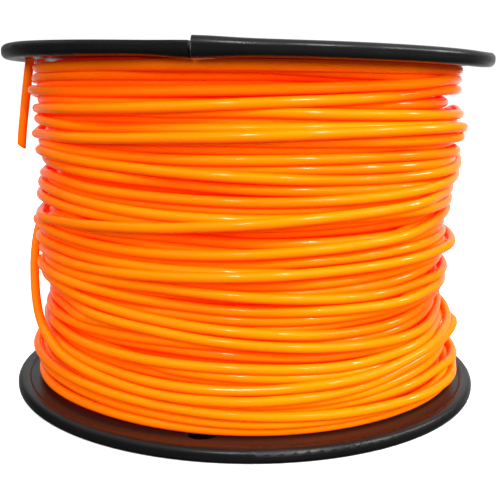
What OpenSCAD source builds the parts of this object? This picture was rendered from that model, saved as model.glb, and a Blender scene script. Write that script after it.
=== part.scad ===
// Filament reel: two moulded flanges snapped on a barrel, wound with 3 mm plastic filament.
// The reel stands on its lower flange. Its axis is Z, and its front is towards -Y.

/* [Reel] */
// Diameter over a flange's rim
flange_d = 160; // [150:1:200]
// Width over both rims
reel_w = 112; // [90:1:140]
// Thickness of a flange's web
web_t = 2; // [1.6:0.1:2.4]

/* [Rim] */
// Height of the rim bead along the reel's axis
rim_h = 4.4; // [4:0.1:6]
// Width of the rim bead across the flange
rim_w = 4.6; // [4.2:0.1:5.4]
// Corner radius of the rim bead
rim_round = 1.8; // [1:0.1:1.9]

/* [Hub] */
// Bore for the holder's shaft
bore_d = 32; // [24:1:36]
// Wall of the tube round the bore
bore_wall = 3; // [2:0.1:4]
// Lead-in chamfer at the mouth of the bore
bore_lead = 0.6; // [0.2:0.1:1]
// Outside diameter of the barrel
barrel_d = 60; // [58:1:70]
// Wall of the barrel
barrel_wall = 2.5; // [2:0.1:3]
// Length of the spigot that enters the barrel
spigot_l = 10; // [8:0.5:16]
// Wall of the spigot
spigot_wall = 2; // [1.6:0.1:2.4]
// Thickness of the floor of the hub's pocket
floor_t = 2; // [1.6:0.1:3]
// Number of ribs in the hub's pocket
rib_count = 6; // [3:1:9]
// Thickness of a rib
rib_t = 1.8; // [1.2:0.1:2.4]
// How far a rib stays below the rim's plane
rib_drop = 3; // [2:0.5:5]

/* [Snaps] */
// Number of snap lugs on a spigot
snap_count = 3; // [2:1:4]
// Arc of a snap lug in degrees
snap_arc = 22; // [14:1:30]
// Height of a snap lug along the axis
snap_h = 3; // [2:0.1:4]
// How far a snap lug stands out of the spigot
snap_out = 1.3; // [0.8:0.1:1.6]
// Distance from the web to the middle of a snap lug
snap_up = 5.4; // [4:0.1:6]

/* [Keyholes] */
// Diameter of the keyhole in each flange
keyhole_d = 9.4; // [6:0.1:11]
// Distance from the flange's edge to the keyhole's centre
keyhole_in = 12.8; // [11:0.1:16]
// Angle of the keyholes from the front, towards -X
keyhole_turn = 10.5; // [0:0.5:40]
// Width of the slit from the upper rim to its keyhole
slit_w = 0.7; // [0.4:0.1:2]
// How far the lead-in lip beside the slit is lowered
lip_drop = 0.9; // [0.3:0.1:1.4]
// Angle over which the lowered lip runs out
lip_arc = 48; // [30:1:60]

/* [Tie holes] */
// Diameter of the two holes that hold the filament's end
tie_d = 5.2; // [4.8:0.1:5.4]
// Distance from the flange's edge to the middle of the tie holes
tie_in = 7.3; // [7.3:0.1:9]
// Distance between the tie holes
tie_pitch = 10.4; // [8:0.1:14]

/* [Filament] */
// Diameter of the filament
strand_d = 3; // [2.8:0.05:3.2]
// How far the flanges stand out past the wound filament
flange_proud = 9.4; // [9:0.1:20]
// Number of turns in the outer layer
turn_count = 24; // [6:1:24]
// Most that a turn wanders outwards or inwards
sway_r = 0.8; // [0:0.1:1.2]
// Most that a turn wanders along the axis
sway_z = 0.25; // [0:0.05:0.3]
// How much longer one side of the cut end is than the other
cut_slant = 1.6; // [0:0.1:3]

/* [Fits] */
// Clearance round a spigot, a snap lug and the filament's inner end
fit_gap = 0.2; // [0.1:0.05:0.3]
// Clearance between the filament and what it is wound on
seat_gap = 0.3; // [0.1:0.05:0.4]

/* [Hidden] */

flange_r = flange_d / 2;
bore_r = bore_d / 2;
barrel_r = barrel_d / 2;
spigot_r = barrel_r - barrel_wall - fit_gap;
// Heights of a flange's two web faces above its rim plane
web_low = (rim_h - web_t) / 2 + 0.4;
web_in = web_low + web_t;
floor_top = web_in + spigot_l;
tube_r = bore_r + bore_wall;
past = 1;
round_fn = 96;

// The wound filament
strand_r = strand_d / 2;
turn_r = flange_r - flange_proud - strand_r;
core_r = turn_r - sway_r - strand_r - seat_gap;
core_in = barrel_r + fit_gap;
first_z = web_in + seat_gap + strand_r + sway_z;
turn_rings = 24;
turn_sides = 6;

// The inner end of the filament goes through the barrel's wall
start_z = 22;
start_turn = 225;
start_in = 8;

// The tail's route from the last turn, up through one tie hole, down through the other and free.
// Each point has its distance in from the flange's edge, its place front to back, and its
// height over the upper rim's plane.
tail_sides = 8;
tail_route = [
    [19.0, 32.4, -8.2], [17.1, 28.9, -8.2], [14.6, 24.2, -8.2], [11.5, 18.9, -8.2],
    [9.2, 15.6, -7.8], [8.2, 13.4, -6.6], [7.6, 11.6, -4.6], [7.4, 10.4, -2.6],
    [7.2, 8.7, -0.7], [7.0, 7.1, 0.2], [6.9, 5.2, 0.5], [6.8, 3.3, 0.2],
    [6.7, 1.7, -0.7], [6.6, 0.0, -2.6], [6.4, -0.9, -4.4], [6.1, -1.6, -7.0],
    [5.7, -2.1, -10.5], [5.1, -2.5, -15.0], [4.4, -2.7, -20.0], [3.6, -2.8, -25.5],
    [2.9, -2.8, -31.6]
];
tail_path = [for (p = tail_route) [p[0] - flange_r, p[1], reel_w + p[2]]];

// ---------- swept tubes ----------

function unit(v) = v / norm(v);

// Direction of a path at each of its points
function headings(path) = let (last = len(path) - 1)
    [for (i = [0 : last]) unit(path[min(i + 1, last)] - path[max(i - 1, 0)])];

// One side vector for each point, turned as little as the path allows
function side_vectors(dirs, first) = let (last = len(dirs) - 1)
    [for (i = 0, n = first; i <= last; i = i + 1,
          n = unit(n - (n * dirs[min(i, last)]) * dirs[min(i, last)])) n];

// Tube of radius r along a path. The end face is cut aslant by slant, seen along Y.
module tube(path, r, sides, slant = 0) {
    dirs = headings(path);
    first = unit(cross(dirs[0], [0, 0, 1]));
    normals = side_vectors(dirs, first);
    last = len(path) - 1;
    rings = [for (i = [0 : last], k = [0 : sides - 1])
        let (a = 360 * k / sides,
             out = r * (cos(a) * normals[i] + sin(a) * cross(dirs[i], normals[i])),
             lean = i == last ? slant * out[0] / (2 * r) : 0)
        path[i] + out + lean * dirs[i]];
    walls = [for (i = [0 : last - 1], k = [0 : sides - 1], half = [0, 1])
        let (a = i * sides + k, b = i * sides + (k + 1) % sides)
        half == 0 ? [a, a + sides, b + sides] : [a, b + sides, b]];
    caps = [for (k = [1 : sides - 2], end = [0, 1])
        let (a = last * sides)
        end == 0 ? [0, k, k + 1] : [a, a + k + 1, a + k]];
    polyhedron(points = rings, faces = concat(walls, caps), convexity = 10);
}

// ---------- path of the outer layer ----------

tail_start = tail_path[0];
tail_dir = unit(tail_path[1] - tail_path[0]);
end_turn = atan2(tail_start[1], tail_start[0]);
end_r = norm([tail_start[0], tail_start[1]]);
turn_rise = tail_start[2] - first_z;
ring_count = turn_count * turn_rings;

// Fades from 0 at both ends of the layer to 1 a turn away from them
function free_share(i) = min(1, i / turn_rings, (ring_count - i) / turn_rings);

function turn_point(i) =
    let (a = end_turn + 360 * (i / turn_rings - turn_count),
         free = free_share(i),
         settle = max(0, 1 - (ring_count - i) / turn_rings),
         r = turn_r + settle * (end_r - turn_r) + free * sway_r * sin(a * 0.73),
         z = first_z + turn_rise * i / ring_count + free * sway_z * sin(a * 1.31))
    [r * cos(a), r * sin(a), z];

lead_dir = unit(turn_point(1) - turn_point(0));
turn_path = concat(
    [turn_point(0) - strand_d * lead_dir],
    [for (i = [0 : ring_count - 1]) turn_point(i)],
    [tail_start - strand_d * tail_dir, tail_start]);

// Least gap between neighbouring turns, on the points of the path
turn_gap = min([for (i = [0 : len(turn_path) - turn_rings])
    min([for (j = [i + turn_rings / 2 : min(i + 2 * turn_rings, len(turn_path) - 1)])
        norm(turn_path[j] - turn_path[i])])]) - strand_d;
echo(least_gap_between_turns = turn_gap);

// ---------- flanges ----------

// Section of the rim bead, a square with round corners
module rim_section() {
    low = rim_round;
    high = rim_h - rim_round;
    near = flange_r - rim_w + rim_round;
    far = flange_r - rim_round;
    translate([near - rim_round, low]) square([rim_w, high - low]);
    translate([near, 0]) square([far - near, rim_h]);
    for (x = [near, far], y = [low, high])
        translate([x, y]) circle(r = rim_round, $fn = round_fn);
}

// Half section of a flange: web, rim, spigot, pocket floor and the tube round the bore
module flange_section() {
    translate([spigot_r - spigot_wall, web_low])
        square([flange_r - rim_w + rim_round - spigot_r + spigot_wall, web_t]);
    rim_section();
    translate([spigot_r - spigot_wall, web_low]) square([spigot_wall, floor_top - web_low]);
    translate([bore_r, floor_top - floor_t]) square([spigot_r - bore_r, floor_t]);
    polygon([[bore_r, bore_lead], [bore_r + bore_lead, 0], [tube_r, 0],
             [tube_r, floor_top], [bore_r, floor_top]]);
}

// Ribs across the pocket, from the bore's tube to the spigot
module pocket_ribs() {
    rib_r = (bore_r + tube_r) / 2;
    for (k = [0 : rib_count - 1])
        rotate(360 * k / rib_count)
            translate([rib_r, -rib_t / 2, rib_drop])
                cube([spigot_r - spigot_wall / 2 - rib_r, rib_t, floor_top - floor_t / 2 - rib_drop]);
}

// One ring sector between two radii, used for the lugs and, larger, for their windows
module sector(r1, r2, z, h, arc) {
    rotate(-arc / 2) translate([0, 0, z - h / 2])
        rotate_extrude(angle = arc, $fn = round_fn) translate([r1, 0]) square([r2 - r1, h]);
}

module around(count) {
    for (k = [0 : count - 1]) rotate(360 * k / count) children();
}

// Places children at a keyhole
module at_keyhole() {
    rotate(-90 - keyhole_turn) translate([flange_r - keyhole_in, 0, 0]) children();
}

// A flange as it lies on its rim, with its spigot upwards
module flange_body() {
    rotate_extrude($fn = round_fn) flange_section();
    pocket_ribs();
    around(snap_count)
        sector(spigot_r - spigot_wall / 2, spigot_r + snap_out, web_in + snap_up, snap_h, snap_arc);
}

module lower_flange() {
    color([0.09, 0.09, 0.1]) difference() {
        flange_body();
        at_keyhole() translate([0, 0, -past])
            cylinder(d = keyhole_d, h = web_in + 2 * past, $fn = round_fn);
    }
}

// Slit from the keyhole out through the rim
module slit() {
    at_keyhole() translate([0, -slit_w / 2, reel_w - web_in - past])
        cube([keyhole_in + past, slit_w, web_in + 2 * past]);
}

// Wedge taken off the rim's outer side, so that the filament slides into the slit.
// It is deepest at the slit and runs out along the rim, on the slit's -X side only.
module lip_wedge() {
    chord = 2 * flange_r * sin(lip_arc / 2);
    reach = 3 * rim_w;
    rotate(-90 - keyhole_turn) intersection() {
        translate([flange_r, 0, reel_w - lip_drop]) rotate(-90 - lip_arc / 2)
            rotate([0, -atan(lip_drop / chord), 0])
                translate([-reach, -reach, 0]) cube([chord + 2 * reach, 2 * reach, rim_h]);
        translate([0, -flange_r, 0]) cube([flange_r + past, flange_r, reel_w + rim_h]);
    }
}

// Two holes beside the rim at -X, the second one a chord of tie_pitch further to the back
module tie_holes() {
    tie_r = flange_r - tie_in;
    for (turn = [0, 2 * asin(tie_pitch / (2 * tie_r))])
        rotate(180 - turn) translate([tie_r, 0, reel_w - web_in - past])
            cylinder(d = tie_d, h = web_in + 2 * past, $fn = round_fn);
}

module upper_flange() {
    color([0.11, 0.11, 0.12]) difference() {
        translate([0, 0, reel_w]) mirror([0, 0, 1]) flange_body();
        at_keyhole() translate([0, 0, reel_w - web_in - past])
            cylinder(d = keyhole_d, h = web_in + 2 * past, $fn = round_fn);
        slit();
        lip_wedge();
        tie_holes();
    }
}

// ---------- barrel ----------

module snap_windows(z) {
    extra = 360 * fit_gap / (PI * barrel_d);
    around(snap_count)
        sector(spigot_r - past, barrel_r + past, z, snap_h + 2 * fit_gap, snap_arc + 2 * extra);
}

module barrel() {
    length = reel_w - 2 * web_in;
    color([0.16, 0.16, 0.17]) difference() {
        translate([0, 0, web_in]) cylinder(r = barrel_r, h = length, $fn = round_fn);
        translate([0, 0, web_in - past])
            cylinder(r = barrel_r - barrel_wall, h = length + 2 * past, $fn = round_fn);
        snap_windows(web_in + snap_up);
        snap_windows(reel_w - web_in - snap_up);
        start_run(strand_d + 2 * fit_gap);
    }
}

// ---------- filament ----------

// Straight run of the filament's inner end through the barrel's wall
module start_run(d) {
    rotate(start_turn) translate([barrel_r - barrel_wall - start_in, 0, start_z])
        rotate([0, 90, 0]) cylinder(d = d, h = barrel_wall + start_in + past, $fn = 48);
}

// All inner layers as one body, with the inner end of the filament
module filament_core() {
    low = web_in + seat_gap;
    high = reel_w - web_in - seat_gap;
    color([0.85, 0.3, 0.05]) {
        difference() {
            translate([0, 0, low]) cylinder(r = core_r, h = high - low, $fn = round_fn);
            translate([0, 0, low - past])
                cylinder(r = core_in, h = high - low + 2 * past, $fn = round_fn);
        }
        start_run(strand_d);
    }
}

// The outer layer, one unbroken tube from the lower flange up to the tail
module filament_turns() {
    color([1, 0.5, 0.05]) tube(turn_path, strand_r, turn_sides);
}

// The loose end, threaded through the upper flange's tie holes
module filament_tail() {
    color([1, 0.55, 0.1]) tube(tail_path, strand_r, tail_sides, cut_slant);
}

lower_flange();
upper_flange();
barrel();
filament_core();
filament_turns();
filament_tail();
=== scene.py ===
# %% [markdown]
# # A reel of 3 mm filament
# The part is a black moulded reel with glossy orange plastic filament wound on it, as it stands
# beside a 3-D printer. The hard pieces come ready from the CAD model. What is left to Blender is
# the finish, and two things that the model keeps simple: how a stiff round filament crosses over
# itself in its last layer, and how a thin flange bends. We load the frame.

# %% Load the frame
import math

import bmesh
import bpy
import numpy as np
from mathutils import Matrix, Vector


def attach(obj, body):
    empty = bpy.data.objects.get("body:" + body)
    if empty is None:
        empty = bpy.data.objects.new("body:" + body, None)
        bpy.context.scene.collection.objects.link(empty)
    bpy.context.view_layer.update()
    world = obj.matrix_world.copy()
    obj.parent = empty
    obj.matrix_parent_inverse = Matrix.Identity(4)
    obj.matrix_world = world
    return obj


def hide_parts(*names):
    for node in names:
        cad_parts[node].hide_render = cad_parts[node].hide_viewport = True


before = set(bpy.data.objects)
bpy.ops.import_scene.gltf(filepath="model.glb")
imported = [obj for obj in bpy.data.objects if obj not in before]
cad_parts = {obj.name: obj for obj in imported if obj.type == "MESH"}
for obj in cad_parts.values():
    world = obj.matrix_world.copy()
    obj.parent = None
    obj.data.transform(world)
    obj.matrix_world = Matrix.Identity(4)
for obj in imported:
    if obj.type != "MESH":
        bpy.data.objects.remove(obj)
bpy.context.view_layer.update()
MM = 0.001


print("nodes:", sorted(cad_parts))

# %% [markdown]
# ## The camera
# The camera is set before anything is made, because every later choice is judged through it. It
# looks a little down on the reel from close by, so the upper flange is seen almost edge-on and
# the lower one opens into an ellipse. A Track To constraint could aim it, but a matrix written
# from the three viewing directions also carries the slight roll, and needs no second object.

# %% Camera
EYE_AWAY, EYE_HEIGHT = 288.4, 99.6
PITCH_DOWN, ROLL = 0.225, 0.0104
LENS, SENSOR = 59.59, 36.0
SHIFT_ACROSS, SHIFT_UP = 0.008, 0.061
NEAREST = 0.01


def add_object(name, data):
    """A new object in the scene, from a mesh, a lamp or a camera."""
    made = bpy.data.objects.new(name, data)
    bpy.context.scene.collection.objects.link(made)
    return made


forward = Vector((0.0, math.cos(PITCH_DOWN), -math.sin(PITCH_DOWN)))
upright = Vector((0.0, math.sin(PITCH_DOWN), math.cos(PITCH_DOWN)))
across = Vector((1.0, 0.0, 0.0))
right = across * math.cos(ROLL) + upright * math.sin(ROLL)
up = upright * math.cos(ROLL) - across * math.sin(ROLL)
facing = Matrix((right, up, -forward)).transposed().to_4x4()

lens = bpy.data.cameras.new("camera")
lens.lens, lens.sensor_width = LENS, SENSOR
lens.shift_x, lens.shift_y = SHIFT_ACROSS, SHIFT_UP
lens.clip_start = NEAREST
camera = add_object("camera", lens)
camera.matrix_world = Matrix.Translation(Vector((0.0, -EYE_AWAY, EYE_HEIGHT)) * MM) @ facing
bpy.context.scene.camera = camera
print("camera:", EYE_AWAY, "mm in front,", EYE_HEIGHT, "mm up, lens", LENS, "mm")

# %% [markdown]
# ## A smooth line
# A filament this stiff bends evenly and has no corners, while the lines below are given by a few
# points each. Blender's own curves could round them, but only as objects. This function works on
# plain numbers: a cubic runs through all the points, with the slope at each one taken from its
# two neighbours, and new points are set at even steps along it.


# %% Smooth line
def distance_along(line):
    """How far along a line each of its points is."""
    return np.concatenate(([0.0], np.cumsum(np.linalg.norm(np.diff(line, axis=0), axis=1))))


def resample(line, step):
    """Points every `step` along a line, on a smooth curve through the points given."""
    line = np.asarray(line, float)
    reached = distance_along(line)
    slope = np.gradient(line, reached, axis=0)
    count = max(2, int(round(reached[-1] / step)) + 1)
    at = np.linspace(0.0, reached[-1], count)
    i = np.clip(np.searchsorted(reached, at, side="right") - 1, 0, len(reached) - 2)
    gap = (reached[i + 1] - reached[i])[:, None]
    t = (at - reached[i])[:, None] / gap
    return (line[i] * (1 + 2 * t) * (1 - t) ** 2 + slope[i] * gap * t * (1 - t) ** 2
            + line[i + 1] * t * t * (3 - 2 * t) + slope[i + 1] * gap * t * t * (t - 1))


corner_line = [(0, 0, 0), (5, 0, 0), (5, 5, 0)]
print("a corner of 10 mm, every 1 mm:", len(resample(corner_line, 1.0)), "points")

# %% [markdown]
# ## A tube that follows a line
# Everything wound here is one round filament, so one function makes all of it: a ring of points
# at each step of a line, joined to the ring before it. A curve with a bevel would be quicker to
# write, but its rings turn freely about the line. Here each ring is set out from the reel's own
# axis, so the filament's outer side always has the same texture coordinate, and the die lines of
# its surface run true along it.

# %% Tube
FILAMENT_D = 3.0


def tube(name, line, diameter, sides, capped=(False, False), slant=0.0):
    """A mesh tube in metres along a line in millimetres.

    Its UV map gives the metres along and the share of a turn around. `slant` is how far the last
    ring leans, in millimetres.
    """
    line = np.asarray(line, float)
    along = np.gradient(line, axis=0)
    along /= np.linalg.norm(along, axis=1)[:, None]
    outward = line * (1.0, 1.0, 0.0)
    outward -= along * (outward * along).sum(1)[:, None]
    outward /= np.linalg.norm(outward, axis=1)[:, None]
    sideways = np.cross(along, outward)
    turn = np.arange(sides) * 2 * math.pi / sides + math.pi
    ring = (outward[:, None, :] * np.cos(turn)[None, :, None]
            + sideways[:, None, :] * np.sin(turn)[None, :, None])
    points = line[:, None, :] + ring * diameter / 2
    if slant:
        points[-1] += along[-1] * ring[-1][:, :1] * slant / 2

    number = np.arange(len(line) * sides).reshape(len(line), sides)
    beside = np.roll(number, -1, axis=1)
    quads = np.stack([number[1:], beside[1:], beside[:-1], number[:-1]], axis=-1).reshape(-1, 4)
    faces = quads.tolist()
    if capped[0]:
        faces.append(number[0].tolist())
    if capped[1]:
        faces.append(number[-1][::-1].tolist())
    mesh = bpy.data.meshes.new(name)
    mesh.from_pydata((points.reshape(-1, 3) * MM).tolist(), [], faces)

    length = distance_along(line) * MM
    corner = np.zeros(len(mesh.loops), np.int32)
    mesh.loops.foreach_get("vertex_index", corner)
    lay = np.zeros((len(corner), 2), np.float32)
    lay[:, 0] = length[corner // sides]
    lay[:, 1] = (corner % sides) / sides
    closing = np.zeros(len(corner), bool)
    closing[:quads.size] = np.arange(quads.size) // 4 % sides == sides - 1
    lay[:, 1] += np.where(closing & (corner % sides == 0), 1.0, 0.0)
    mesh.uv_layers.new(name="lay").data.foreach_set("uv", lay.ravel())
    mesh.shade_smooth()
    mesh.validate()
    print(f"{name}: {length[-1]:.3f} m of filament, {len(mesh.polygons)} faces")
    return add_object(name, mesh)


print("helper for tubes of", FILAMENT_D, "mm and thinner")

# %% [markdown]
# ## The free end
# The last 70 mm of the filament come out from under the upper flange, go up through one small
# hole in it and down through the next, and hang there: that is how a user keeps the end at hand.
# It is a free cord, so its facts come before its shape: a 3 mm monofilament is stiff, it goes
# from hole to hole in one round arch, and side cutters have left its end bare and slanted. A
# simulated cord would have to be steered through the holes, while a line of points goes where it
# is told.

# %% Free end
RIM_R, REEL_W = 80.0, 112.0
ROUTE_TOP = REEL_W + 0.44
TAIL_STEP, TAIL_SIDES, CUT_SLANT = 1.2, 16, 1.6
route_in_from_edge = [
    (19.0, 32.4, -8.2), (17.1, 28.9, -8.2), (14.6, 24.2, -8.2), (11.5, 18.9, -8.2),
    (9.2, 15.6, -7.8), (8.2, 13.4, -6.6), (7.6, 11.6, -4.6), (7.4, 10.4, -2.6),
    (7.2, 8.7, -0.7), (7.0, 7.1, 0.2), (6.9, 5.2, 0.5), (6.8, 3.3, 0.2),
    (6.7, 1.7, -0.7), (6.6, 0.0, -2.6), (6.4, -0.9, -4.4), (6.1, -1.6, -7.0),
    (5.7, -2.1, -10.5), (5.1, -2.5, -15.0), (4.4, -2.7, -20.0), (3.6, -2.8, -25.5),
    (2.9, -2.8, -31.6)]
route = np.array([(edge - RIM_R, y, REEL_W + over) for edge, y, over in route_in_from_edge])
tail_line = resample(route, TAIL_STEP)
tail_line[:, 2] = np.minimum(tail_line[:, 2], ROUTE_TOP)
tail = tube("filament_free_end", tail_line, FILAMENT_D, TAIL_SIDES, capped=(False, True),
            slant=CUT_SLANT)
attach(tail, "root")
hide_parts("filament_tail")
[tuple(p * MM) for p in tail_line]
print("free end:", round(float(distance_along(tail_line)[-1]), 1), "mm")

# %% [markdown]
# ## The lay of the winding
# A reel wound in a factory has even layers, but the last ones are laid faster, with a steep
# hand, and they cross. Random wobble on a helix doesn't look like that: real turns rest on the
# turns below, dip into the gaps between them and run straight from one crossing to the next. So
# we lay the filament as a winder does. The chart gives each turn's height in millimetres where
# it crosses seven lines on the front half of the reel, in the order in which the turns are laid.
# A dash is a stretch where later turns cover this one, and angle:height is a height elsewhere.
# Degrees run to the right from the front.

# %% Lay chart
CHART_DEG = (-60, -40, -20, 0, 20, 40, 60)
LAY = """
6.0 6.3 6.2 6.2 6.0 5.7 5.3
10.4 9.8 8.9 8.1 7.9 7.9 -
- - - - 12.3 12.1 12.5
- - - - 14.0 15.0 16.2
- 22.5 21.4 20.6 - - -
- - 29.3 28.3 26.8 26.5 -
30.4 30.6 31.3 - - 30.4 31.2
33.8 33.2 - - 36.2 36.6 37.7
- - 39.5 38.2 38.0 - -
- - - - 45.8 45.7 47.2
- 48.0 48.0 48.1 48.2 48.9 49.6
- 59.2 58.0 56.9 - 57.5 58.0
- - 60.9 59.6 59.5 - -
- - - - 62.8 63.1 64.0
66.3 65.1 64.6 64.2 64.6 65.3 66.8
71.3 69.9 69.0 68.4 68.6 69.5 -
- - - 79.6 79.3 79.1 78.7
- 84.6 84.6 84.6 84.6 - - 50:85.6 80:86.0
-70:89.6 - 92.2 92.2 92.0 92.0 - - 75:91.8
96.5 96.3 96.3 - - 96.2 96.5
-80:100.0 101.4 101.3 101.2 101.0 - - - 60:98.8 110:99.2 200:101.0
-80:102.5 103.6 103.6 103.6 103.6 103.6 - - 60:101.4 110:102.0 200:104.0
-60:105.8 - - - 105.8 104.7 104.2 - 60:103.2 80:101.7 100:100.6 140:98.6 190:95.8 260:93.6 295:93.2
- - - 94.4 93.8 93.5 93.2
90.2 89.2 89.6 90.0 90.4 90.3 -
- - - - 86.6 86.4 86.4
83.2 82.4 81.5 81.8 82.1 82.2 81.7
77.8 76.5 75.5 74.2 73.5 73.2 -
69.8 68.0 66.6 65.9 66.2 - - 60:66.2 80:65.9 100:65.2 130:62.0
-80:54.4 54.6 54.3 53.9 53.9 54.7 55.4 55.4
52.0 52.0 51.7 51.6 - - -
-90:45.2 -60:45.6 - - 46.5 44.9 43.6 42.8 43.3
43.8 43.1 42.1 40.8 40.3 39.8 40.8
- - - 21.9 21.2 21.2 -
26.6 25.4 24.9 24.5 23.5 24.1 26.0
14.5 13.2 11.7 10.5 9.5 9.1 8.5
22.5 20.0 18.2 17.9 18.9 21.1 24.0
37.4 35.6 33.6 31.4 29.5 28.3 28.6
41.2 39.0 36.9 34.8 33.2 32.9 34.1
49.0 48.9 49.6 50.5 51.5 52.0 52.1
60.6 61.8 63.0 64.7 66.8 68.1 69.7
loose
-100:57.4 -80:57.6 56.9 56.0 55.8 56.6 57.9 59.4 61.4
73.8 72.1 71.3 70.7 70.8 71.6 73.0
81.2 79.7 78.5 77.3 76.4 76.0 76.4
86.2 86.2 87.2 88.0 89.0 89.6 89.9 78:88.5
93.9 94.4 95.1 96.5 97.5 98.7 100.7 80:100.6 100:100.5 120:100.6 200:100.2
99.1 99.0 99.4 99.9 100.7 101.8 103.8 80:103.7 100:103.6 120:103.6 140:103.8 160:104.2
-80:106.2 105.7 106.0 106.1 106.2 106.2 106.1 106.4 80:106.6 100:106.7 120:106.7 140:106.7 180:106.2
"""
LOOSE_TURN = [(-130, 68.0), (-112, 63.5), (-100, 58.5), (-92, 55.0), (-86, 50.5), (-81, 45.0),
              (-77, 39.0), (-73, 32.5), (-69, 28.5), (-63, 25.0), (-57, 22.4), (-50, 19.4),
              (-40, 17.0), (-20, 14.8), (0, 14.5), (20, 15.7), (40, 17.9), (60, 19.8)]
rows = LAY.split("\n")[1:-1]
TURNS = len(rows) + 1
loose_row = rows.index("loose")
print(len(rows), "turns in the chart; number", loose_row + 1, "is the loose one")

# %% [markdown]
# Now the chart is read into one long list of angles and heights, in which the angle grows by 360
# degrees with each turn. Where two heights stand next to each other in the chart, the turn is in
# sight between them, and those spans are kept as well. The last height is the one at which the
# free end begins.

# %% Read the chart
NEIGHBOURS_DEG = 20
TAIL_START_DEG = math.degrees(math.atan2(route[0][0], -route[0][1]))
TAIL_START_R = math.hypot(route[0][0], route[0][1])

knots, seen_spans = [], []
for turn_no, row in enumerate(rows):
    turned = 360 * turn_no
    if row == "loose":
        found = [(deg + turned, height) for deg, height in LOOSE_TURN]
        seen_spans.append((found[0][0], found[-1][0]))
    else:
        cells = [cell for cell in row.split() if ":" not in cell]
        extras = [cell.split(":") for cell in row.split() if ":" in cell]
        found = [(deg + turned, float(cell)) for deg, cell in zip(CHART_DEG, cells) if cell != "-"]
        found += [(float(deg) + turned, float(height)) for deg, height in extras]
        found.sort()
        seen_spans += [(a[0], b[0]) for a, b in zip(found, found[1:])
                       if b[0] - a[0] <= NEIGHBOURS_DEG]
    knots += found
end_deg = TAIL_START_DEG + 360 * (TURNS - 1)
knots.append((end_deg, route[0][2]))
print(len(knots), "heights,", len(seen_spans), "stretches in sight")

# %% [markdown]
# ## Stations round the reel
# From here on the winding is a table with a row for each turn and a column for each of 144
# stations round the reel. A filament this stiff has no kinks, so the heights are rounded off
# along its length. Each place also gets a number from 0, in sight, to 1, well out of sight.

# %% Stations
STATIONS = 144
STEP_DEG = 360.0 / STATIONS
ROUND_OFF, ROUND_REACH = 2.2, 6
HIDDEN_AFTER, HIDDEN_FADE = 18.0, 20.0

deg = -180.0 + STEP_DEG * np.arange(STATIONS)
path_deg = deg[None, :] + 360.0 * np.arange(TURNS)[:, None]
kernel = np.exp(-0.5 * (np.arange(-ROUND_REACH, ROUND_REACH + 1) / ROUND_OFF) ** 2)
kernel /= kernel.sum()


def smooth(values, window):
    """Values along the filament, rounded off with a window of weights."""
    half = len(window) // 2
    return np.convolve(np.pad(values, half, mode="edge"), window, "valid")


chart_z = smooth(np.interp(path_deg.ravel(), *zip(*knots)), kernel).reshape(TURNS, STATIONS)
unseen = np.full(path_deg.shape, np.inf)
for a, b in seen_spans:
    unseen = np.minimum(unseen, np.maximum(a - path_deg, path_deg - b))
unseen = np.clip((unseen - HIDDEN_AFTER) / HIDDEN_FADE, 0.0, 1.0)
print("heights: %d, from %.1f to %.1f mm" % (chart_z.size, chart_z.min(), chart_z.max()))

# %% [markdown]
# ## The ground that the turns lie on
# A wound body is never a true cylinder: it is full where many turns have crossed and hollow
# where few have. Noise could make that, but then a hollow couldn't be put where it is wanted.
# A list of soft bumps can: for each, the angle and height of its middle, how far it stands out
# or in, and how wide and how high it is. Over them lies one even layer with its grooves.

# %% Ground
UNDER_R, UNDER_PITCH = 64.0, 3.06
# angle and height of the middle, how far out, degrees wide, millimetres high
BUMPS = [
    (0, 6, 1.0, 400, 8), (-85, 9, 4.0, 35, 6), (85, 10, 3.2, 35, 7), (80, 88, 1.2, 30, 4),
    (80, 78, 1.6, 30, 5), (80, 45, -0.8, 35, 12), (15, 64, -1.5, 28, 5), (75, 61, -2.4, 20, 3),
    (-85, 50, -1.2, 20, 6), (-80, 79, -2.2, 20, 4), (-80, 107, -3.6, 40, 3),
    (-80, 99, 1.8, 25, 3.5), (80, 100, -3.0, 30, 5), (80, 56, 1.6, 25, 3),
    (80, 28, -2.6, 25, 7), (82, 97.5, -0.4, 18, 2), (15, 103, -2.0, 40, 3),
    (85, 6.5, 2.0, 20, 2), (80, 93.5, 2.2, 20, 2.5), (78, 51.8, -3.2, 14, 2.0),
    (80, 69.5, -1.8, 16, 2.2), (-80, 61, 2.4, 18, 2.2), (-80, 25, -1.6, 15, 3)]


def ground(at_deg, at_z):
    """The radius of the layers below, with their bumps and hollows."""
    total = np.full(np.broadcast(at_deg, at_z).shape, UNDER_R)
    for centre_deg, centre_z, height, wide_deg, wide_z in BUMPS:
        round_by = (at_deg - centre_deg + 180.0) % 360.0 - 180.0
        away = (round_by / wide_deg) ** 2 + ((at_z - centre_z) / wide_z) ** 2
        total += height * np.exp(-0.5 * away)
    return total


def under_layer(z):
    """The radius at which a filament rests on the layers below."""
    half = UNDER_PITCH / 2
    groove = (z - deg[None, :] / 360.0 * UNDER_PITCH + half) % UNDER_PITCH - half
    return ground(deg[None, :], z) + np.sqrt(FILAMENT_D ** 2 - groove ** 2)


at_front = under_layer(chart_z)[:, STATIONS // 2]
print("ground at the front, mm: %.1f to %.1f" % (at_front.min(), at_front.max()))

# %% [markdown]
# ## Laying the turns
# At each station a turn rests at the lowest radius where it is a filament's width away from
# every turn laid before it. Between two crossings a taut filament runs straight. A straight line
# seen from the axis has a handy rule: its 1/r is the mean of 1/r at equal angles to both sides,
# over the cosine of that angle. So one line of code per hop pulls the filament tight. A chain of
# rigid bodies could do all this, but it would take minutes and wouldn't keep to a chart.

# %% How a turn rests
SIDE_PLAY = 1.08
HOPS = (1, 2, 3, 5, 7, 1, 2, 3, 5, 7)


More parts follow.
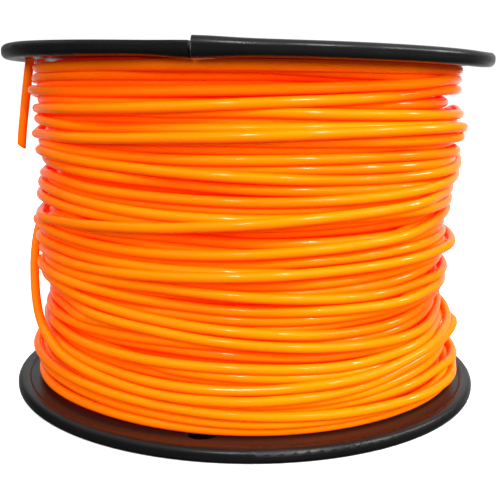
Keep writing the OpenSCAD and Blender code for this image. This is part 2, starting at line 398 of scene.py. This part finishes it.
def rest_on(below, r, z, z_k):
    """The radius at which a turn at heights z_k rests on the turns in `below`."""
    apart = np.minimum(np.abs(z_k[None, :] - z[below]) * SIDE_PLAY, FILAMENT_D)
    top = np.where(apart < FILAMENT_D, r[below] + np.sqrt(FILAMENT_D ** 2 - apart ** 2), 0.0)
    return np.maximum(under_layer(z_k)[0], top.max(axis=0, initial=0.0))


def pull_tight(radius):
    """The radii along the filament when it runs straight wherever nothing carries it."""
    inverse = 1.0 / radius
    for hop in HOPS:
        both = 2 * math.cos(math.radians(hop * STEP_DEG))
        bridge = (inverse[:-2 * hop] + inverse[2 * hop:]) / both
        inverse[hop:-hop] = np.minimum(inverse[hop:-hop], bridge)
    return 1.0 / inverse


trial = np.full(STATIONS, 60.0)
trial[[20, 28]] = 70.0
for pulls in (1, 10):
    for _ in range(pulls):
        trial = pull_tight(trial)
    print("halfway between rests of 70 mm, 20 degrees apart: %.2f mm" % trial[24])

# %% [markdown]
# ## Letting the winding settle
# Where a turn rests depends on the turns below it, and how tight it is pulled depends on its own
# neighbours, so all of them are laid again and again until hardly anything moves. Where a turn
# is out of sight, it may also slide sideways into the nearest groove, as a real one does. Where
# it is in sight, its height follows from the chart and from how far out it lies: the chart holds
# for one radius, and from the camera a turn that lies further out shifts against the reel.
# Heights move gently, and the last sweeps hold them still while the radii settle, so that no
# turn is left inside another. The loose turn is laid last.

# %% Relaxation
SWEEPS, SETTLED = 60, 46
LOWEST, HIGHEST = 5.15, 106.85
CHART_R = 70.3  # the radius for which the chart's heights hold
SINK = 0.12  # how far a turn may press into those below
PROBE, PUSH_MOST, SLIDE_RATE = 0.3, 0.5, 0.35
HEIGHT_RATE, SEEN_EDGE = 0.4, 4
LIGHT_KERNEL = np.array([1, 4, 6, 4, 1]) / 16.0

order = [k for k in range(TURNS) if k != loose_row] + [loose_row]
view = np.radians(deg)[None, :]
sight = np.maximum(EYE_AWAY * np.cos(view) - CHART_R, 0.0)
reach = (CHART_R * np.sin(view)) ** 2 + (EYE_AWAY - CHART_R * np.cos(view)) ** 2
slide = np.zeros_like(chart_z)
r = under_layer(chart_z)
z = chart_z.copy()
for sweep in range(SWEEPS):
    rest = np.zeros_like(r)
    push = np.zeros_like(r)
    for rank, k in enumerate(order):
        below = order[:rank]
        rest[k] = rest_on(below, r, z, z[k])
        if sweep < SETTLED:
            push[k] = rest_on(below, r, z, z[k] + PROBE) - rest_on(below, r, z, z[k] - PROBE)
    tight = smooth(pull_tight(rest.ravel()), LIGHT_KERNEL)
    r = np.maximum(tight, rest.ravel() - SINK).reshape(r.shape)
    if sweep < SETTLED:
        slide -= np.clip(push, -PUSH_MOST, PUSH_MOST) * SLIDE_RATE * unseen
        slide = smooth(slide.ravel(), LIGHT_KERNEL).reshape(slide.shape)
        slide *= np.minimum(1.0, unseen * SEEN_EDGE)
        parallax = (r - CHART_R) * (EYE_HEIGHT - z) * sight / reach * (1 - unseen)
        z += HEIGHT_RATE * (np.clip(chart_z + slide + parallax, LOWEST, HIGHEST) - z)
print("outer turns, mm from the axis: %.1f to %.1f, mean %.2f" % (r.min(), r.max(), r.mean()))

# %% [markdown]
# ## The first and the last turns
# One turn has sprung loose, as happens as soon as the tension drops: on the left it stands away
# from the winding and daylight shows behind it. It is lifted to a given radius, because nothing
# carries it there. The winding's first end is sunk under the turns that cover it, and its last
# stretch is led to the point where the free end begins, so that the two pieces meet with no step.

# %% Loose turn and ends
LOOSE_R, LOOSE_FROM, LOOSE_TO, LOOSE_FADE = 73.0, -92, -66, 24.0
START_R, START_DEG, END_DEG = 62.6, 50.0, 55.0
WINDING_STEP, WINDING_SIDES = 3.4, 12


def ease(x):
    """A soft step: 0 up to x = 0, 1 from x = 1, and smooth between."""
    x = np.clip(x, 0.0, 1.0)
    return x * x * (3 - 2 * x)


loose = ease(1 - np.maximum(LOOSE_FROM - deg, deg - LOOSE_TO) / LOOSE_FADE)
r[loose_row] += np.maximum(LOOSE_R - r[loose_row], 0.0) * loose

flat_deg = path_deg.ravel()
from_start = ease((flat_deg + 180.0) / START_DEG)
to_end = ease(1 - (end_deg - flat_deg) / END_DEG)
flat_r = START_R + (r.ravel() - START_R) * from_start
flat_r = flat_r * (1 - to_end) + TAIL_START_R * to_end
flat_z = z.ravel() * (1 - to_end) + route[0][2] * to_end
flat_a = np.radians(flat_deg)
line = np.stack([flat_r * np.sin(flat_a), -flat_r * np.cos(flat_a), flat_z], axis=1)
line = np.vstack([line[flat_deg < end_deg - 1.0], route[0]])
winding_line = np.vstack([resample(line, WINDING_STEP)[:-1], route[0]])
winding = tube("filament_winding", winding_line, FILAMENT_D, WINDING_SIDES, capped=(True, False))
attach(winding, "root")
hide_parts("filament_turns")

# %% [markdown]
# ## The layer underneath
# Below the crossing turns lie even layers. Only slivers of them show, in the deep gaps, but a
# gap must show filament and not a void. One helix is enough, as more of them would cost faces
# that nobody sees. It starts with one flat turn on the lower flange, where a rising one would
# leave a dark wedge.

# %% Even layer
UNDER_STEP_DEG, CLIMB_FROM, CLIMB_OVER = 5.0, 180.0, 40.0
UNDER_SIDES, FLAT_DROP = 8, 1.0

under_turns = int((HIGHEST - LOWEST) / UNDER_PITCH) + 1
under_deg = np.arange(-180.0, 360.0 * under_turns + 0.1, UNDER_STEP_DEG)
climb = ease((under_deg - CLIMB_FROM) / CLIMB_OVER)
rise = (-LOWEST) % UNDER_PITCH + under_deg / 360.0 * UNDER_PITCH
under_z = LOWEST + climb * rise
under_r = ground(under_deg, under_z) - FLAT_DROP * (1 - climb)
under_a = np.radians(under_deg)
under_line = np.stack([under_r * np.sin(under_a), -under_r * np.cos(under_a), under_z], axis=1)
under = tube("filament_under_layer", under_line[under_z <= HIGHEST], FILAMENT_D, UNDER_SIDES,
             capped=(True, True))
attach(under, "root")

# %% [markdown]
# ## The inner layers
# All the filament further in is hidden but for a hint of ribs. It could be wound as well, but
# one ring with a wavy side looks the same: its profile is turned round the axis, as on a lathe.
# A Screw modifier would turn it too, and leave a seam to close.

# %% Inner layers
CORE_R, CORE_BOTTOM, CORE_TOP = 30.2, 3.9, 107.5
RIB_R, RIB_OUT, RIB_PITCH = 61.3, 1.3, 3.07
CORE_STEPS, CORE_SEGMENTS = 140, 96


def lathe(name, profile, segments):
    """A closed ring turned from a profile of (radius, height) points in millimetres."""
    bm = bmesh.new()
    turn = np.arange(segments) * 2 * math.pi / segments
    rings = [[bm.verts.new((radius * math.sin(a) * MM, -radius * math.cos(a) * MM, height * MM))
              for a in turn] for radius, height in profile]
    for i, ring in enumerate(rings):
        above = rings[(i + 1) % len(rings)]
        for j in range(segments):
            n = (j + 1) % segments
            bm.faces.new((ring[j], ring[n], above[n], above[j]))
    bmesh.ops.recalc_face_normals(bm, faces=bm.faces)
    mesh = bpy.data.meshes.new(name)
    bm.to_mesh(mesh)
    bm.free()
    mesh.shade_smooth()
    print(f"{name}: {len(mesh.polygons)} faces")
    return add_object(name, mesh)


core_profile = [(CORE_R, CORE_BOTTOM)]
for height in np.linspace(CORE_BOTTOM, CORE_TOP, CORE_STEPS):
    rib = abs(math.sin(math.pi * (height - CORE_BOTTOM) / RIB_PITCH))
    core_profile.append((RIB_R + RIB_OUT * rib, height))
core_profile.append((CORE_R, CORE_TOP))
core = lathe("filament_core_layers", core_profile, CORE_SEGMENTS)
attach(core, "root")
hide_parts("filament_core")

# %% [markdown]
# ## The warp of the upper flange
# A thin moulded disc never comes out of its mould quite flat. This one rises to the left by a
# little over half a degree, its edge is bent up at the back right, and the two ends of its rim
# have spread where it is slit to let the filament in. The CAD model keeps the flat disc, because
# that is the part as it is made. A lattice could bend it, but a formula says how far each point
# moves, and leaves the hub alone, so that the bore and the snaps stay true. It works on a copy
# of the mesh, and the CAD object stays as it is.

# %% Warped flange
SLIT_DEG, RIM_MID_Z = -10.5, REEL_W - 2.2
HUB_R, HUB_FADE = 34.0, 38.0
BACK_FROM, BACK_FADE_IN, BACK_TO, BACK_FADE_OUT = 68.0, 45.0, 185.0, 60.0
RIM_FROM_R, RIM_FADE = 72.0, 3.0
RISE, TILT, BACK_LIFT = 0.2, 0.0101, 2.0
RIGHT_WIDE, RIGHT_SPREAD = 8.0, 0.28
LEFT_WIDE, LEFT_UP, LEFT_SPREAD = 6.0, 0.2, 0.4


def warp(at):
    """Where points of the flat flange lie on the bent one, in millimetres."""
    radius = np.hypot(at[:, 0], at[:, 1])
    past = np.degrees(np.arctan2(at[:, 0], -at[:, 1])) - SLIT_DEG
    back_right = ease((past - BACK_FROM) / BACK_FADE_IN) * ease((BACK_TO - past) / BACK_FADE_OUT)
    bend = RISE - TILT * at[:, 0] + BACK_LIFT * back_right
    off_middle = at[:, 2] - RIM_MID_Z
    right_end = np.where(past > 0, np.exp(-(past / RIGHT_WIDE) ** 2), 0.0)
    left_end = np.where(past < 0, np.exp(-(past / LEFT_WIDE) ** 2), 0.0)
    spread = (right_end * RIGHT_SPREAD * off_middle
              + left_end * (LEFT_UP + LEFT_SPREAD * np.minimum(off_middle, 0.0)))
    bent = at.copy()
    bent[:, 2] += (ease((radius - HUB_R) / HUB_FADE) * bend
                   + ease((radius - RIM_FROM_R) / RIM_FADE) * spread)
    return bent


bent_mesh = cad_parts["upper_flange"].data.copy()
points = np.zeros(3 * len(bent_mesh.vertices), np.float32)
bent_mesh.vertices.foreach_get("co", points)
flat_points = points.reshape(-1, 3) / MM
bent_points = warp(flat_points)
bent_mesh.vertices.foreach_set("co", (bent_points * MM).ravel())
bent_mesh.update()
upper = add_object("upper_flange_warped", bent_mesh)
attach(upper, "root")
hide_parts("upper_flange")
print("upper flange: bent up by at most %.2f mm" % (bent_points - flat_points)[:, 2].max())

# %% [markdown]
# ## The burr, with a painted highlight
# The knife that cut the slit has pushed up a burr on its edge. It draws the light crescent where
# the rim's cut end catches the light, and its pale grey is a painted highlight. It could be
# modelled into the rim's mesh, but a thin tube along the rim's rounded outline catches the light
# just as it does, and it is bent by the same formula as the flange.

# %% Burr
BURR_D, BURR_SIDES, BURR_POINTS = 0.4, 10, 19
BURR_FROM, BURR_TO = 30.0, -85.0
EDGE_R, EDGE_WIDE, EDGE_HIGH, EDGE_LEAN = 78.1, 1.8, 1.7, 0.4
SLIT_HALF_DEG = 0.27

edge_a = math.radians(SLIT_DEG + SLIT_HALF_DEG)
burr_line = []
for turned in np.linspace(BURR_FROM, BURR_TO, BURR_POINTS):
    a = math.radians(turned)
    edge_r = EDGE_R + EDGE_WIDE * math.cos(a)
    edge_z = RIM_MID_Z + EDGE_LEAN * turned / -BURR_TO + EDGE_HIGH * math.sin(a)
    burr_line.append((edge_r * math.sin(edge_a), -edge_r * math.cos(edge_a), edge_z))
burr = tube("upper_flange_slit_burr", warp(np.array(burr_line)), BURR_D, BURR_SIDES,
            capped=(True, True))
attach(burr, "root")

# %% [markdown]
# ## Writing a material as sums
# A material is easier to read as arithmetic than as boxes and lines. The class below wraps one
# socket. Adding or multiplying two of them makes the Math node, `ramp` and `mix` spread a value
# over a range or between two colours, and `node` makes any other kind of node, with its settings
# before its inputs.


# %% Shader helper
class Wire:
    """One socket of a material, with the arithmetic that these finishes use."""

    def __init__(self, tree, socket=None):
        self.tree, self.socket = tree, socket

    def node(self, kind, settings=None, inputs=None, out=0):
        """A new node of any kind, and the wire that comes out of it."""
        made = self.tree.nodes.new("ShaderNode" + kind)
        for key, value in (settings or {}).items():
            setattr(made, key, value)
        for key, value in (inputs or {}).items():
            if isinstance(value, Wire):
                self.tree.links.new(value.socket, made.inputs[key])
            else:
                made.inputs[key].default_value = value
        return Wire(self.tree, made.outputs[out])

    def maths(self, operation, other, swapped=False):
        """A Math node, or a Vector Math node where this wire is a vector."""
        kind = "VectorMath" if self.socket.type == "VECTOR" else "Math"
        pair = (other, self) if swapped else (self, other)
        return self.node(kind, {"operation": operation}, dict(enumerate(pair)))

    def __add__(self, other): return self.maths("ADD", other)
    def __radd__(self, other): return self.maths("ADD", other, True)
    def __sub__(self, other): return self.maths("SUBTRACT", other)
    def __rsub__(self, other): return self.maths("SUBTRACT", other, True)
    def __mul__(self, other): return self.maths("MULTIPLY", other)
    def __rmul__(self, other): return self.maths("MULTIPLY", other, True)

    def length(self):
        """How long this vector is."""
        return self.node("VectorMath", {"operation": "LENGTH"}, {0: self}, out="Value")

    def axis(self, letter):
        """One of the three numbers of this vector."""
        return self.node("SeparateXYZ", None, {"Vector": self}, out=letter)

    def ramp(self, low, high, to=(0.0, 1.0)):
        """The wire's values from low to high, spread over `to` and held outside it."""
        return self.node("MapRange", {"clamp": True}, {
            "Value": self, "From Min": low, "From Max": high, "To Min": to[0], "To Max": to[1]})

    def mix(self, dark, light):
        """The colour from dark to light that this wire's value picks."""
        dark, light = (c if isinstance(c, Wire) else (*c, 1.0) for c in (dark, light))
        return self.node("Mix", {"data_type": "RGBA"}, {"Factor": self, 6: dark, 7: light}, out=2)


def new_material(name, constants):
    """An empty material with its Principled shader, and the constants set on its sockets."""
    material = bpy.data.materials.new(name)
    material.use_nodes = True
    shader = material.node_tree.nodes["Principled BSDF"]
    for key, value in constants.items():
        shader.inputs[key].default_value = value
    return material, shader, Wire(material.node_tree)


def plug(wire, shader, key):
    """Lead a wire into one of a shader's sockets."""
    wire.tree.links.new(wire.socket, shader.inputs[key])


def noise(at, scale, detail=3.0, roughness=0.5):
    """A cloudy value from 0 to 1 that changes from place to place."""
    return at.node("TexNoise", {"noise_dimensions": "3D"}, {
        "Vector": at, "Scale": scale, "Detail": detail, "Roughness": roughness})


def bump(height, strength, distance):
    """The normal of a skin that stands up by `distance` metres where the height is 1."""
    return height.node("Bump", None, {
        "Strength": strength, "Distance": distance, "Height": height})


print("helpers for materials:", ", ".join(f.__name__ for f in (new_material, plug, noise, bump)))

# %% [markdown]
# ## Orange filament
# Extruded plastic has a skin that is almost polished, with very fine lines drawn along it by the
# die and a slow waviness from the puller. Its pigment is fluorescent: it turns blue light into
# orange, so the plastic looks brighter than its colour alone would make it. A little steady
# emission stands for that: a painted glow, which shines even where no light falls. Deep between
# the turns, light has gone from one to the next and has lost its yellow, so both colours are
# painted redder with the depth below the outermost turns: the base colour darker, as painted
# shade, and the glow stronger in red, as painted bounced light. Scattering inside the plastic
# could do that as well, but it is slow and leaves grain.

# %% Filament finish
GROOVE_R, OUTER_R = 0.066, 0.0708
LINES_PER_METRE_AND_TURN, WAVES_PER_METRE_AND_TURN = (14.0, 46.0, 1.0), (90.0, 2.0, 1.0)
# painted shade and glow: a darker, redder base and a stronger red glow deep in the grooves
GROOVE_PAINTED_SHADE, GROOVE_PAINTED_GLOW, OUTER_PAINTED_GLOW = (0.82, 0.08, 0.0), (0.95, 0.007, 0.0), (0.6, 0.03, 0.0)
OUTER_DULL, OUTER_BRIGHT = (0.86, 0.152, 0.0), (0.9, 0.17, 0.0)

filament, shader, start = new_material("orange_filament", {
    "IOR": 1.5, "Specular IOR Level": 0.14, "Emission Strength": 0.24})
object_at = start.node("TexCoord", out="Object")
lay_at = start.node("UVMap", {"uv_map": "lay"})
die_lines = noise(lay_at * LINES_PER_METRE_AND_TURN, 1.0, 2.0)
puller_waves = noise(lay_at * WAVES_PER_METRE_AND_TURN, 1.0, 1.0)
tint = noise(object_at, 38.0, 3.0)
scuff = noise(object_at, 420.0, 4.0, 0.6)
# painted shade by depth: 0 deep between the turns, 1 on the outermost ones
outer = (object_at * (1.0, 1.0, 0.0)).length().ramp(GROOVE_R, OUTER_R)
outer_base = tint.ramp(0.3, 0.7).mix(OUTER_DULL, OUTER_BRIGHT)
plug(outer.mix(GROOVE_PAINTED_SHADE, outer_base), shader, "Base Color")
# painted glow: steady emission, also where no light falls, stronger in red deep down
plug(outer.mix(GROOVE_PAINTED_GLOW, OUTER_PAINTED_GLOW), shader, "Emission Color")
plug(scuff.ramp(0.35, 0.75, (0.12, 0.18)), shader, "Roughness")
plug(bump(die_lines * 0.5 + puller_waves * 0.6 + scuff * 0.1, 0.12, 0.0002), shader, "Normal")
for piece in (winding, under, core, tail):
    piece.data.materials.append(filament)
print("orange filament:", len(filament.node_tree.nodes), "nodes")

# %% [markdown]
# ## Black reel
# The flanges are moulded in black styrene with a satin skin: a faint grain from the mould's
# surface, and cloudy marks of handling that change the gloss more than the colour. The barrel is
# duller, and the burr at the cut edge rougher and painted paler, as a painted highlight. One
# function makes all three from a tone, a roughness and a depth of grain, so that they read as one
# plastic.


# %% Reel finish
def moulded_black(name, tone, rough, grain):
    """The reel's plastic in one tone, with its handling marks and its grain."""
    material, shader, start = new_material(name, {"IOR": 1.5, "Specular IOR Level": 0.27})
    at = start.node("TexCoord", out="Object")
    clouds = noise(at, 24.0, 4.0, 0.6)
    skin = noise(at, 1900.0, 2.0)
    fine = noise(at, 5200.0, 2.0)
    flow = noise(at, 90.0, 3.0, 0.55)
    darker, lighter = ([c * share for c in tone] for share in (0.8, 1.25))
    gloss = clouds.ramp(0.3, 0.75, (rough - 0.05, rough + 0.08))
    plug(clouds.ramp(0.3, 0.7).mix(darker, lighter), shader, "Base Color")
    plug(gloss + (skin - 0.5) * 0.06, shader, "Roughness")
    plug(bump(skin * 0.5 + fine * 0.25 + flow * 0.15, 0.35, 0.0003 * grain), shader, "Normal")
    print(name + ":", len(material.node_tree.nodes), "nodes")
    return material


flange_black = moulded_black("black_flange_plastic", (0.0048, 0.005, 0.0048), 0.31, 0.5)
barrel_black = moulded_black("black_barrel_plastic", (0.014, 0.014, 0.015), 0.42, 1.0)
# painted highlight: the burr's pale grey stands for light on the slit's cut end
burr_painted_highlight = moulded_black("pale_burr_painted_highlight", (0.045, 0.043, 0.04), 0.4, 1.0)
lower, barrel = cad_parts["lower_flange"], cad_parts["barrel"]
for piece, finish in ((lower, flange_black), (upper, flange_black), (burr, burr_painted_highlight)):
    piece.data.materials.clear()
    piece.data.materials.append(finish)
barrel.data.materials.clear()
barrel.data.materials.append(barrel_black)

# %% [markdown]
# ## The floor
# The reel stands on a plain pale floor. With lamps alone it would fade to grey somewhere, so it
# also glows, and is as white as the room behind it. Close to the reel it glows a little less, a
# ring of painted soft shade, and right under the reel, where no light gets in, it is painted dark:
# painted shade. The plastic doesn't see this floor: what it mirrors there comes from the world,
# where it can be set by itself.

# %% Floor
FLOOR = 4.0
REEL_EDGE, SHADE_OUT = 0.076, 0.08

floor_mesh = bpy.data.meshes.new("floor")
floor_corners = [(-FLOOR, -FLOOR, 0), (FLOOR, -FLOOR, 0), (FLOOR, FLOOR, 0), (-FLOOR, FLOOR, 0)]
floor_mesh.from_pydata(floor_corners, [], [(0, 1, 2, 3)])
floor = add_object("floor", floor_mesh)
floor_finish, shader, start = new_material("pale_floor", {
    "Roughness": 0.7, "Specular IOR Level": 0.2, "Emission Strength": 1.0})
away = start.node("TexCoord", out="Object").length()
# painted shade: dark and without glow right under the reel, and glowing less close to it
outside = away.ramp(REEL_EDGE, SHADE_OUT)
glow = outside * away.ramp(SHADE_OUT, 0.3, (0.6, 0.9))
plug(outside.mix((0.02, 0.02, 0.02), (0.88, 0.88, 0.88)), shader, "Base Color")
plug(glow.mix((0.0, 0.0, 0.0), (1.0, 1.0, 1.0)), shader, "Emission Color")
floor_mesh.materials.append(floor_finish)
floor.visible_glossy = floor.visible_diffuse = False
print("floor:", 2 * FLOOR, "m wide")

# %% [markdown]
# ## The room
# The room is one white world whose strength depends on the kind of ray. What the camera sees is
# plain white. What the plastic mirrors is dark, with a bright wall behind the reel and a pale
# ceiling. What lights the reel is soft and comes mostly from above and a little from the right.
# The recorded light of a real room could do it too, but there the three can't be set apart.

# %% World
BACKDROP = 1.05

world = bpy.data.worlds.new("studio")
world.use_nodes = True
sky = Wire(world.node_tree)
seen = sky.node("LightPath", out="Is Camera Ray")
mirrored = sky.node("LightPath", out="Is Glossy Ray")
towards = sky.node("TexCoord", out="Generated")
height = towards.axis("Z")
behind = towards.axis("Y").ramp(0.45, 0.95)
side = towards.axis("X").ramp(-0.5, 0.5, (0.45, 0.8))
horizon = height.ramp(-0.03, 0.0, (1.0, 0.0)) * height.ramp(-0.25, -0.12)
ceiling = height.ramp(0.3, 0.8, (0.0, 0.9))
in_gloss = 0.03 + behind * behind * (side + horizon * side * 0.7) + ceiling
lit_side = towards.axis("X").ramp(-0.7, 0.9, (0.9, 1.2))
in_diffuse = height.ramp(-0.6, 0.7, (0.08, 0.62)) * lit_side
strength = in_diffuse + mirrored * (in_gloss - in_diffuse) + seen * (BACKDROP - in_diffuse)
background = world.node_tree.nodes["Background"]
background.inputs["Color"].default_value = (1.0, 1.0, 1.0, 1.0)
plug(strength, background, "Strength")
bpy.context.scene.world = world
bpy.context.scene.view_settings.view_transform = "Standard"
print("world:", len(world.node_tree.nodes), "nodes")

# %% [markdown]
# ## Lamps
# Small lamps draw the short bright dashes on each turn. The large soft ones give the filament
# its shading, and reflections don't show them, so that they leave no broad glare on the turns
# and on the black rims. One big window could do both, but then its glare and its shading would
# always change together.

# %% Lamps
AIM = Vector((0.0, 0.0, 0.06))


def lamp(name, azimuth, elevation, distance, width, height, watts, mirrored=True):
    """A rectangular lamp that points at the reel. Azimuth 0 is the camera's side, 90 the right."""
    data = bpy.data.lights.new(name, "AREA")
    data.shape, data.size, data.size_y, data.energy = "RECTANGLE", width, height, watts
    a, e = math.radians(azimuth), math.radians(elevation)
    away = Vector((math.sin(a) * math.cos(e), -math.cos(a) * math.cos(e), math.sin(e)))
    holder = add_object(name, data)
    turned = away.to_track_quat("Z", "Y").to_matrix().to_4x4()
    holder.matrix_world = Matrix.Translation(AIM + away * distance) @ turned
    holder.visible_glossy = mirrored
    print(f"{name}: {watts} W at {azimuth}, {elevation} degrees")


lamp("lamp_front", -6, 40, 1.1, 0.05, 0.05, 4.5)
lamp("lamp_front_right", 35, 40, 1.1, 0.05, 0.05, 5.5)
lamp("lamp_side", 74, 34, 1.1, 0.05, 0.05, 2.2)
lamp("lamp_right", 98, 25, 1.1, 0.1, 0.1, 2.5)
lamp("fill_front", -34, 18, 1.3, 0.9, 0.5, 10.5, mirrored=False)
lamp("key_right", 52, 20, 1.2, 0.9, 0.6, 18.0, mirrored=False)
lamp("fill_back", 180, 25, 1.3, 0.9, 0.6, 14.0, mirrored=False)
